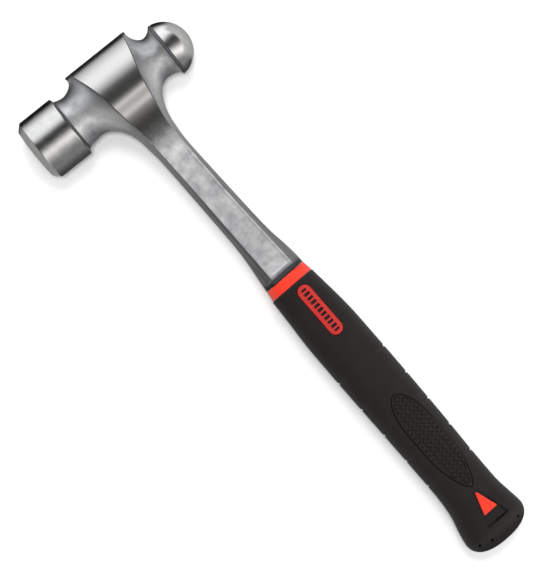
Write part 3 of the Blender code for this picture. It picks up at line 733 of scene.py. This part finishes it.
def inlay_mesh(name, inlay, sign):
    """A closed inlay on the front (sign 1) or the back (-1): its top follows the grip's surface with the
    inlay's relief, and its floor is flat. The badge's deep parts take its second material."""
    start, end = inlay.ys
    share = (1 - np.cos(np.linspace(0, pi, inlay.rows))) / 2 * (1 - 2 * INLAY_END) + INLAY_END
    y = (start + (end - start) * share)[:, None]
    half = (inlay.width(share) * inlay.half_width)[:, None]
    across = np.sin(np.linspace(-pi / 2, pi / 2, inlay.columns))[None, :]
    x = inlay.x + half * across
    edge = np.minimum((1 - np.abs(across)) * half, np.minimum(start - y, y - end))
    z = grip_surface_z(x, y) + inlay.relief(x, y + 0 * x, edge)
    top = np.stack([x, y + 0 * x, z], -1)
    feet = [np.stack([side, y, np.full_like(y, inlay.floor)], -1) for side in (x[:, -1:], x[:, :1])]
    rings = np.concatenate([top, *feet, top[:, :1]], axis=1)
    rings[..., 2] *= sign
    sunk = np.zeros((inlay.rows - 1, inlay.columns + 2), int)
    if inlay.kind == "badge":
        depth = grip_surface_z(x, y) - z
        sunk[:, :inlay.columns - 1] = depth[:-1, :-1] > BADGE_SUNK
    work = Patchwork()
    work.grid(rings, sunk.ravel().tolist())
    work.face(rings[0][:-1])
    work.face(rings[-1][:-1])
    return work.mesh(name)


def rim(edge, depth, rise, run):
    """Height over the grip's surface near an inlay's rim, which rounds down into its groove."""
    return rise * ease(edge / run) - depth


def pad_relief(x, y, edge):
    """Rows of small square studs inside a plain border that is rounded at the pad's rim."""
    field = ease((edge - PAD_BORDER) / PAD_BORDER_SLOPE)
    across = np.abs((x - PAD_X) / STUD_PITCH[0] - np.round((x - PAD_X) / STUD_PITCH[0]))
    along = np.abs((y - PAD_Y[0]) / STUD_PITCH[1] - np.round((y - PAD_Y[0]) / STUD_PITCH[1]))
    out = (across**4 + along**4) ** 0.25
    stud = ease((STUD_HALF - out) / STUD_SLOPE) + STUD_CROWN * (STUD_CROWN_EDGE - out**2)
    return rim(edge, *PAD_RIM) - field * STUD_DEPTH * (1 - stud)


def badge_relief(x, y, edge):
    """A raised red rim round a sunk field, which plain red ribs cross."""
    rib = ease((np.abs(np.sin(pi * (y - BADGE_Y[0]) / RIB_PITCH)) - RIB_EDGE) / RIB_SLOPE)
    field = ease((edge - BADGE_BORDER) / BADGE_BORDER_SLOPE) * (1 - rib)
    return rim(edge, *BADGE_RIM) - 2 * BADGE_SUNK * field


def marker_relief(x, y, edge):
    """A plain face, rounded at its rim."""
    return rim(edge, *MARKER_RIM)


Inlay = namedtuple("Inlay", "kind width x ys half_width floor relief rows columns")
INLAYS = [
    Inlay("palm_pad", lens_half_width, PAD_X, PAD_Y, PAD_HALF_WIDTH, PAD_FLOOR, pad_relief, 360, 110),
    Inlay("badge", bar_half_width, BADGE_X, BADGE_Y, BADGE_HALF_WIDTH, BADGE_FLOOR, badge_relief, 240, 64),
    Inlay("marker", triangle_half_width, MARKER_X, MARKER_Y, MARKER_HALF_WIDTH, MARKER_FLOOR, marker_relief,
          60, 40),
]


def front_and_back(outline, floor):
    """Two cutters with that outline, which stop at floor from the grip's front and from its back."""
    return [(outline, floor, CUTTER_TOP), (outline, -CUTTER_TOP, -floor)]


def beside_marker(outline):
    return [(MARKER_X + x, y) for x, y in outline]


def grip_cutters():
    """The inlays' pockets, the recess that holds the marker and the pin marks."""
    bodies = []
    for inlay in INLAYS:
        bodies += front_and_back(outline_of(inlay, GAP), inlay.floor - GAP)
    bodies += front_and_back(beside_marker(HOLLOW_OUTLINE), HOLLOW_FLOOR)
    for x, y, floor in PIN_MARKS:
        circle = arc_points(x, y, PIN_RADIUS, 0, 360 - 360 / ARC_STEPS, ARC_STEPS - 1)
        bodies.append((circle, floor, CUTTER_TOP))
    return prism(bodies, "grip_cutters")


def channel_cutters():
    """A deeper channel along the recess's two far walls."""
    return prism(front_and_back(beside_marker(CHANNEL_OUTLINE), CHANNEL_FLOOR), "channel_cutters")


def sleeve_bore():
    """The bore that holds the sleeve, open at the grip's mouth."""
    work = Patchwork()
    angle = np.linspace(0, 2 * pi, SLEEVE_SEGMENTS + 1)
    half_x, half_z = SLEEVE_HALF[0] + GAP, SLEEVE_HALF[1] + GAP
    x, z = oval_point(-half_x, half_x, half_z, angle)
    ends = (GRIP_Y + CUTTER_OVERSHOOT, SLEEVE_END_Y - GAP)
    rings = np.stack([np.stack([x, np.full_like(x, y), z], -1) for y in ends])
    work.rings(rings)
    work.face(rings[0][:-1])
    work.face(rings[-1][:-1])
    return work.mesh("sleeve_bore")


def collar_mesh():
    """A ring with softly rounded rims and an oval bore for the tang."""
    (top, *start), (bottom, *end) = COLLAR_ENDS
    section = rounded([(0.0, top), (1.0, top), (1.0, bottom), (0.0, bottom)], COLLAR_ROUND, 6)
    angle = np.linspace(0, 2 * pi, COLLAR_SEGMENTS + 1)
    bore_x, bore_z = (half * np.sign(wave) * np.abs(wave) ** COLLAR_BORE_POWER
                      for half, wave in zip(COLLAR_BORE_HALF, (np.cos(angle), np.sin(angle))))
    rings = []
    for out, y in section:
        share, along = min(max(float(out), 0.0), 1.0), (top - y) / (top - bottom)
        x, z = oval_point(*(a + (b - a) * along for a, b in zip(start, end)), angle)
        rings.append(np.stack([bore_x + (x - bore_x) * share, np.full_like(x, y),
                               bore_z + (z - bore_z) * share], -1))
    work = Patchwork()
    work.rings(np.stack(rings + rings[:1]))
    return work.mesh("collar_fine")


def add_node(tree, kind, inputs, **settings):
    """A shader node whose inputs are linked to sockets or set to values."""
    made = tree.nodes.new("ShaderNode" + kind)
    for key, value in settings.items():
        setattr(made, key, value)
    for key, value in inputs.items():
        if isinstance(value, bpy.types.NodeSocket):
            tree.links.new(value, made.inputs[key])
        else:
            made.inputs[key].default_value = value
    return made


class Shader:
    """A Principled material, with short calls for the nodes that drive it."""

    def __init__(self, name, **values):
        self.material = bpy.data.materials.new(name)
        self.material.use_nodes = True
        self.tree = self.material.node_tree
        self.surface = self.tree.nodes["Principled BSDF"]
        for key, value in values.items():
            self.surface.inputs[key.replace("_", " ")].default_value = value
        coordinates = self.tree.nodes.new("ShaderNodeTexCoord").outputs
        self.place, self.facing = coordinates["Object"], coordinates["Normal"]

    def node(self, kind, inputs, **settings):
        return add_node(self.tree, kind, inputs, **settings)

    def split(self, vector):
        return self.node("SeparateXYZ", {"Vector": vector}).outputs

    def noise(self, size, stretch=(1, 1, 1), detail=3.0):
        """Noise from 0 to 1, its features about size millimetres, drawn out along the axes by stretch."""
        scale = [1000 / size / s for s in stretch]
        place = self.node("Mapping", {"Vector": self.place, "Scale": scale}).outputs[0]
        return self.node("TexNoise", {"Vector": place, "Scale": 1.0, "Detail": detail}).outputs[0]

    def ranged(self, value, low, high, start=0.0, end=1.0):
        """value from start to end becomes low to high, and stays between them."""
        inputs = {"Value": value, "From Min": start, "From Max": end, "To Min": low, "To Max": high}
        return self.node("MapRange", inputs).outputs[0]

    def spread(self, noise, low, high):
        """The middle range of a noise, where most of it lies, becomes low to high."""
        return self.ranged(noise, low, high, 0.3, 0.7)

    def below(self, value, low, high):
        """1 where value is under low, and 0 where it is over high, both in millimetres."""
        return self.ranged(value, 1.0, 0.0, low * MM, high * MM)

    def math(self, operation, first, second=0.0):
        return self.node("Math", {0: first, 1: second}, operation=operation).outputs[0]

    def blend(self, share, first, second):
        """A colour between first and second."""
        return self.node("Mix", {0: share, 6: first, 7: second}, data_type="RGBA").outputs[2]

    def bump(self, *layers):
        """Stacked bumps of (height socket, millimetres)."""
        normal = None
        for height, size in layers:
            inputs = {"Height": height, "Distance": size * MM, "Strength": 1.0}
            if normal is not None:
                inputs["Normal"] = normal
            normal = self.node("Bump", inputs).outputs[0]
        self.drive("Normal", normal)

    def drive(self, socket, value):
        self.tree.links.new(value, self.surface.inputs[socket])

    def finished(self, colour, roughness, *bumps):
        self.drive("Base Color", colour)
        self.drive("Roughness", roughness)
        self.bump(*bumps)
        return self.material


SATIN_DARK, SATIN_LIGHT = (0.52, 0.525, 0.545, 1), (0.88, 0.885, 0.895, 1)
SHOULDER, SHADED = (0.42, 0.42, 0.435, 1), (0.14, 0.14, 0.145, 1)
# Painted shade on the shank's walls, with streaks that run between these two.
WALL_SHADE_DARK, WALL_SHADE_LIGHT = (0.21, 0.21, 0.217, 1), (0.33, 0.33, 0.34, 1)
# Dark steel for scale and painted shade, also used for a painted dark reflection on the top's edge.
SCALE_AND_SHADE_DARK, SCALE_AND_SHADE_LIGHT = (0.05, 0.05, 0.052, 1), (0.22, 0.22, 0.23, 1)
# The cheek's face, its lower part darker with painted shade.
CHEEK_UPPER, CHEEK_SHADED_LOWER = (0.6, 0.597, 0.59, 1), (0.42, 0.412, 0.405, 1)
POLISHED_DARK, POLISHED_LIGHT = (0.52, 0.518, 0.514, 1), (0.68, 0.678, 0.67, 1)
PANEL_METALLIC, SCALE_AND_SHADE_METALLIC = 0.8, 0.8

# Stretches over which one look turns into the next: y, or for the neck the distance from the centreline.
NECK_FADE = (13.0, 26.0)
TOP_EDGE_REFLECTION_FADE = (TOP_Y - 2.2, TOP_Y - 1.0)
WALL_SHADE_FADE = (-84.0, -40.0)
FLANGE_FADE = (-136.8, -134.0)
STEP_FADE = (JOIN_Y, JOIN_Y + 18.0)
SATIN_FADE = (-52.0, -26.0)
SATIN_BUMP_FADE = (-60.0, -36.0)
CHEEK_SHADE_FADE = (-7.5, -3.5)
PANEL_END_FADE = (-135.7, -133.5)
BRUSHED = 1.5


def satin(steel):
    """Colour, roughness and grain of steel as forged and tumbled."""
    cloud, grain = steel.noise(5.0, detail=5), steel.noise(0.7, detail=6)
    colour = steel.blend(steel.spread(cloud, 0.0, 1.0), SATIN_DARK, SATIN_LIGHT)
    return colour, steel.spread(grain, 0.4, 0.52), grain


def forged_steel():
    """Satin steel, darker on the shoulders, with painted shade on faces turned towards the head's top side,
    shank walls painted darker with streaks, a painted dark reflection along the top's rounded edge, and
    darker at the flange.
    """
    steel = Shader("forged_satin", Metallic=1.0)
    colour, roughness, grain = satin(steel)
    place = steel.split(steel.place)
    height = steel.math("ADD", place["Y"], steel.math("MULTIPLY", place["X"], sin(radians(HEAD_DROOP))))
    # Painted dark reflection on the top's rounded edge.
    rim = steel.ranged(height, 0.0, 1.0, *(y * MM for y in TOP_EDGE_REFLECTION_FADE))
    flange = steel.below(place["Y"], *FLANGE_FADE)
    neck = steel.ranged(steel.math("ABSOLUTE", place["X"]), 0.0, 1.0, *(x * MM for x in NECK_FADE))
    colour = steel.blend(neck, SHOULDER, colour)
    # Painted shade: faces turned towards the head's top side are darkened towards SHADED.
    painted_shade_facing_top = steel.ranged(steel.split(steel.facing)["Y"], 0.0, 0.95, 0.1, 0.95)
    colour = steel.blend(painted_shade_facing_top, colour, SHADED)
    # The shank's walls turn darker down the shank, as painted shade for the darker surroundings they
    # reflect, with streaks of uneven tone.
    streaks = steel.ranged(steel.noise(1.3, (1, 40, 3)), 0.0, 1.0, 0.35, 0.65)
    wall = steel.blend(streaks, WALL_SHADE_DARK, WALL_SHADE_LIGHT)
    colour = steel.blend(steel.below(place["Y"], *WALL_SHADE_FADE), colour, wall)
    # The top's rounded edge, as a painted dark reflection, and the flange next to the collar are darkened.
    colour = steel.blend(steel.math("MAXIMUM", rim, flange), colour, SCALE_AND_SHADE_DARK)
    return steel.finished(colour, roughness, (steel.noise(3.0), 0.08), (grain, 0.02))


def forging_scale_and_shade():
    """Dark scale left in the grooves that polishing doesn't reach, with painted shade there and along the
    cheek's step, fading down the cheek.
    """
    steel = Shader("forging_scale_and_shade", Metallic=SCALE_AND_SHADE_METALLIC)
    grain = steel.noise(0.8, detail=5)
    fade = steel.below(steel.split(steel.place)["Y"], *STEP_FADE)
    colour = steel.blend(fade, steel.blend(grain, SCALE_AND_SHADE_DARK, SCALE_AND_SHADE_LIGHT), SHOULDER)
    return steel.finished(colour, steel.ranged(grain, 0.45, 0.6), (grain, 0.02))


def ground_steel():
    """The cheek's ground face, with fine lines and painted shade on its lower part, which turns satin in
    brushed streaks at the shank and dark towards the collar.
    """
    steel = Shader("ground_cheek")
    colour, dull, _ = satin(steel)
    lines = steel.noise(0.35, (1, 60, 60), 4)
    streaks = steel.noise(1.0, (1, 5, 5), 3)
    y = steel.split(steel.place)["Y"]
    uneven = steel.math("ADD", y, steel.spread(streaks, -BRUSHED * MM, BRUSHED * MM))
    share = steel.below(uneven, *SATIN_FADE)
    bright = steel.spread(lines, 0.12, 0.2)
    gap = steel.math("SUBTRACT", dull, bright)
    roughness = steel.math("ADD", bright, steel.math("MULTIPLY", gap, share))
    steel.drive("Metallic", steel.ranged(share, 1.0, PANEL_METALLIC))
    # The panel turns dark towards the collar.
    shank = steel.blend(steel.below(y, *PANEL_END_FADE), colour, SCALE_AND_SHADE_DARK)
    # Painted shade: the cheek's face is darker below where it starts to lean away from the head's top side.
    face = steel.blend(steel.below(y, *CHEEK_SHADE_FADE), CHEEK_UPPER, CHEEK_SHADED_LOWER)
    soft = steel.math("MULTIPLY", steel.noise(3.0), steel.below(y, *SATIN_BUMP_FADE))
    waves = steel.noise(1.6, (1, 40, 40), 2)
    return steel.finished(steel.blend(share, face, shank), roughness, (soft, 0.06), (waves, 0.005),
                          (lines, 0.003))


def polished_steel():
    """The machined and polished poll and ball, with fine turning lines round the head's axis."""
    steel = Shader("polished_head", Metallic=1.0)
    lines, smudge = steel.noise(0.3, (1, 80, 80), 4), steel.noise(4.0, detail=5)
    colour = steel.blend(smudge, POLISHED_DARK, POLISHED_LIGHT)
    roughness = steel.math("ADD", steel.spread(lines, 0.08, 0.17), steel.spread(smudge, 0.0, 0.08))
    return steel.finished(colour, roughness, (steel.noise(1.4, (1, 50, 50), 2), 0.005), (lines, 0.004))


def rubber(name, dark, light, roughness):
    """Moulded rubber with a fine matt grain."""
    made = Shader(name, Specular_IOR_Level=0.35)
    grain, cloud = made.noise(0.35, detail=4), made.noise(12.0)
    uneven = made.spread(grain, roughness - 0.06, roughness + 0.08)
    return made.finished(made.blend(cloud, dark, light), uneven, (made.noise(2.5), 0.02), (grain, 0.02))


def red_plastic(name, dark, light):
    """Glossy red plastic with a faint moulded texture."""
    made = Shader(name)
    grain, cloud = made.noise(0.5, detail=3), made.noise(6.0)
    return made.finished(made.blend(cloud, dark, light), made.spread(grain, 0.3, 0.42), (grain, 0.008))


def make_forging():
    item = add_object("forged_hammer", forging_mesh(), forged_steel(), ground_steel(),
                      polished_steel(), forging_scale_and_shade())
    apply_boolean(item, "UNION", prism([(fork_outline(), -TANG_HALF[1], TANG_HALF[1])], "fork"))
    settle(item, "forging", FORGING_SHARP)


def make_grip(grip_rubber, pad_rubber, badge_red, marker_red):
    grip = add_object("rubber_grip", grip_mesh(), grip_rubber)
    apply_boolean(grip, "DIFFERENCE", sleeve_bore())
    apply_boolean(grip, "DIFFERENCE", grip_cutters())
    apply_boolean(grip, "DIFFERENCE", channel_cutters())
    settle(grip, "grip", GRIP_SHARP)
    finishes = {"palm_pad": [pad_rubber], "badge": [badge_red, pad_rubber], "marker": [marker_red]}
    for inlay in INLAYS:
        for side, sign in (("front", 1), ("back", -1)):
            node = f"{side}_{inlay.kind}"
            mesh = inlay_mesh(f"{node}_fine", inlay, sign)
            item = add_object(f"{node}_inlay", mesh, *finishes[inlay.kind])
            settle(item, node, INLAY_SHARP)


# Brightness of the studio round the head's axis: degrees from straight up, positive towards the
# head's top side, and the brightness there.
STUDIO = [(-180, 0.04), (-130, 0.1), (-110, 0.2), (-94, 0.29), (-80, 0.27), (-67, 0.31), (-56, 0.5),
          (-45, 0.8), (-38, 1.12), (-31, 1.32), (-24, 1.24), (-17, 0.82), (-10, 0.4), (-3, 0.13), (3, 0.07),
          (10, 0.06), (17, 0.13), (24, 0.45), (31, 0.95), (40, 1.3), (52, 1.4), (72, 1.38), (85, 1.15),
          (95, 0.85), (105, 0.5), (116, 0.12), (126, 0.01), (180, 0.01)]
# The studio is a little warm between these angles, and a little cool elsewhere.
WARM_FROM, WARM_TO = -50, 0
WARMTH, COOLNESS = 0.02, -0.01
# Brightness at the two ends of the head's axis, and lower down, and where the ends take over from the bands.
STUDIO_ENDS = 0.65
STUDIO_UNDER = 0.4
STUDIO_END_RUN = (0.55, 0.8)
# How much brighter the ball's side is than the poll's, and the even light on all that isn't gloss.
STUDIO_SIDE = 0.28
STUDIO_FILL = 0.45


def fill_ramp(ramp):
    """The studio's bands, as the stops of a colour ramp."""
    stops = ramp.elements
    for angle, _ in STUDIO[1:-1]:
        stops.new((angle + 180) / 360)
    for stop, (angle, level) in zip(stops, STUDIO):
        warmth = WARMTH if WARM_FROM < angle < WARM_TO else COOLNESS
        stop.color = (level * (1 + warmth), level, level * (1 - warmth), 1)


def make_world():
    """A pale studio: bright and dark bands for gloss, and an even light for the rest."""
    world = bpy.data.worlds.new("studio")
    bpy.context.scene.world = world
    world.use_nodes = True
    tree = world.node_tree

    def node(kind, *inputs, **settings):
        return add_node(tree, kind, dict(enumerate(inputs)), **settings)

    x, y, z = node("SeparateXYZ", node("TexCoord").outputs["Generated"]).outputs
    leaning = node("Math", x, x, z, operation="MULTIPLY_ADD")
    turn = node("Math", y, leaning.outputs[0], operation="ARCTAN2")
    share = node("MapRange", turn.outputs[0], -pi, pi)
    bands = node("ValToRGB", share.outputs[0])
    fill_ramp(bands.color_ramp)
    above = node("Math", z, 8.0, operation="MULTIPLY")
    above = node("Math", above.outputs[0], 0.0, operation="MAXIMUM")
    length = node("VectorMath", node("CombineXYZ", x, y, above.outputs[0]).outputs[0], operation="LENGTH")
    sideways = node("Math", x, operation="ABSOLUTE")
    sideways = node("Math", sideways.outputs[0], length.outputs["Value"], operation="DIVIDE")
    to_end = node("MapRange", sideways.outputs[0], *STUDIO_END_RUN, interpolation_type="SMOOTHSTEP")
    end = node("MapRange", z, -1.0, 0.1, STUDIO_UNDER, STUDIO_ENDS)
    gloss = node("MixRGB", to_end.outputs[0], bands.outputs[0], end.outputs[0])
    uneven = node("MapRange", x, -1.0, 1.0, 1 - STUDIO_SIDE, 1 + STUDIO_SIDE)
    gloss = node("VectorMath", gloss.outputs[0], uneven.outputs[0], operation="MULTIPLY")
    rays = node("LightPath")
    seen = node("MixRGB", rays.outputs["Is Glossy Ray"], (STUDIO_FILL,) * 3 + (1,), gloss.outputs[0])
    tree.links.new(seen.outputs[0], tree.nodes["Background"].inputs["Color"])
    world.cycles.sampling_method = "NONE"


# Each lamp's tilts from straight above, towards the head's top side and towards its ball, in degrees, then
# its strength and its softness in degrees. Gloss doesn't show the lamps.
LAMPS = [("key", 18, 12, 1.1, 16), ("overhead", 0, 0, 1.6, 10), ("side", 0, 50, 0.8, 60)]


def make_lamps():
    """Soft lamps above the hammer. The key throws a faint shadow towards the butt."""
    for name, along, across, strength, softness in LAMPS:
        light = bpy.data.lights.new(name, "SUN")
        light.energy = strength
        light.angle = radians(softness)
        item = bpy.data.objects.new(name, light)
        item.rotation_euler = (-radians(along), radians(across), 0)
        item.visible_glossy = False
        bpy.context.scene.collection.objects.link(item)


# The hammer lies on its poll and its butt, so the floor leans a little along the handle, in degrees.
FLOOR_TILT = 0.69
FLOOR_SIZE = 6.0
FLOOR_DARK, FLOOR_LIGHT = (0.86, 0.86, 0.86, 1), (0.88, 0.88, 0.88, 1)


def make_floor():
    """A pale floor that touches the poll and the butt."""
    mesh = bpy.data.meshes.new("floor")
    half = FLOOR_SIZE / 2
    corners = [(-half, -half, 0), (half, -half, 0), (half, half, 0), (-half, half, 0)]
    mesh.from_pydata(corners, [], [(0, 1, 2, 3)])
    floor = bpy.data.objects.new("floor", mesh)
    bpy.context.scene.collection.objects.link(floor)
    floor.rotation_euler = (-radians(FLOOR_TILT), 0, 0)
    floor.location = (0, ORIGIN.y, 0)
    floor.visible_glossy = False
    paper = Shader("floor_paper", Roughness=1.0, Specular_IOR_Level=0.0)
    paper.drive("Base Color", paper.blend(paper.noise(60.0), FLOOR_DARK, FLOOR_LIGHT))
    mesh.materials.append(paper.material)


# The camera's turn in degrees, and in metres its height over the head's axis, its view there and its place.
CAMERA_TURN = -40.92
CAMERA_DISTANCE = 1.6
CAMERA_VIEW = 0.3153
CAMERA_AIM = (-0.0007, 0.0132)


def make_camera():
    """A long lens straight above the hammer, turned so that the head lies at the upper left."""
    lens = bpy.data.cameras.new("camera")
    lens.lens = lens.sensor_width * CAMERA_DISTANCE / CAMERA_VIEW
    item = bpy.data.objects.new("camera", lens)
    item.location = (*CAMERA_AIM, ORIGIN.z + CAMERA_DISTANCE)
    item.rotation_euler = (0, 0, radians(CAMERA_TURN))
    bpy.context.scene.collection.objects.link(item)
    bpy.context.scene.camera = item


ORIGIN = origin()
GRIP_RUBBER = rubber("grip_rubber", (0.007, 0.0055, 0.0052, 1), (0.0125, 0.0102, 0.0096, 1), 0.48)
PAD_RUBBER = rubber("pad_rubber", (0.0085, 0.007, 0.0066, 1), (0.0125, 0.0105, 0.01, 1), 0.5)
DAMPER_RUBBER = rubber("damper_rubber", (0.03, 0.03, 0.032, 1), (0.045, 0.045, 0.047, 1), 0.7)
COLLAR_RED = red_plastic("collar_red", (0.7, 0.03, 0.014, 1), (0.78, 0.042, 0.019, 1))
BADGE_RED = red_plastic("badge_red", (0.4, 0.02, 0.017, 1), (0.47, 0.027, 0.022, 1))

make_forging()
make_grip(GRIP_RUBBER, PAD_RUBBER, BADGE_RED, COLLAR_RED)
settle(add_object("red_collar", collar_mesh(), COLLAR_RED), "collar", COLLAR_SHARP)
for node_name, finish in (("inner_sleeve", COLLAR_RED), ("fork_damper", DAMPER_RUBBER)):
    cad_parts[node_name].data.materials.clear()
    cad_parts[node_name].data.materials.append(finish)

make_floor()
make_world()
make_lamps()
make_camera()
bpy.context.scene.view_settings.view_transform = "Standard"
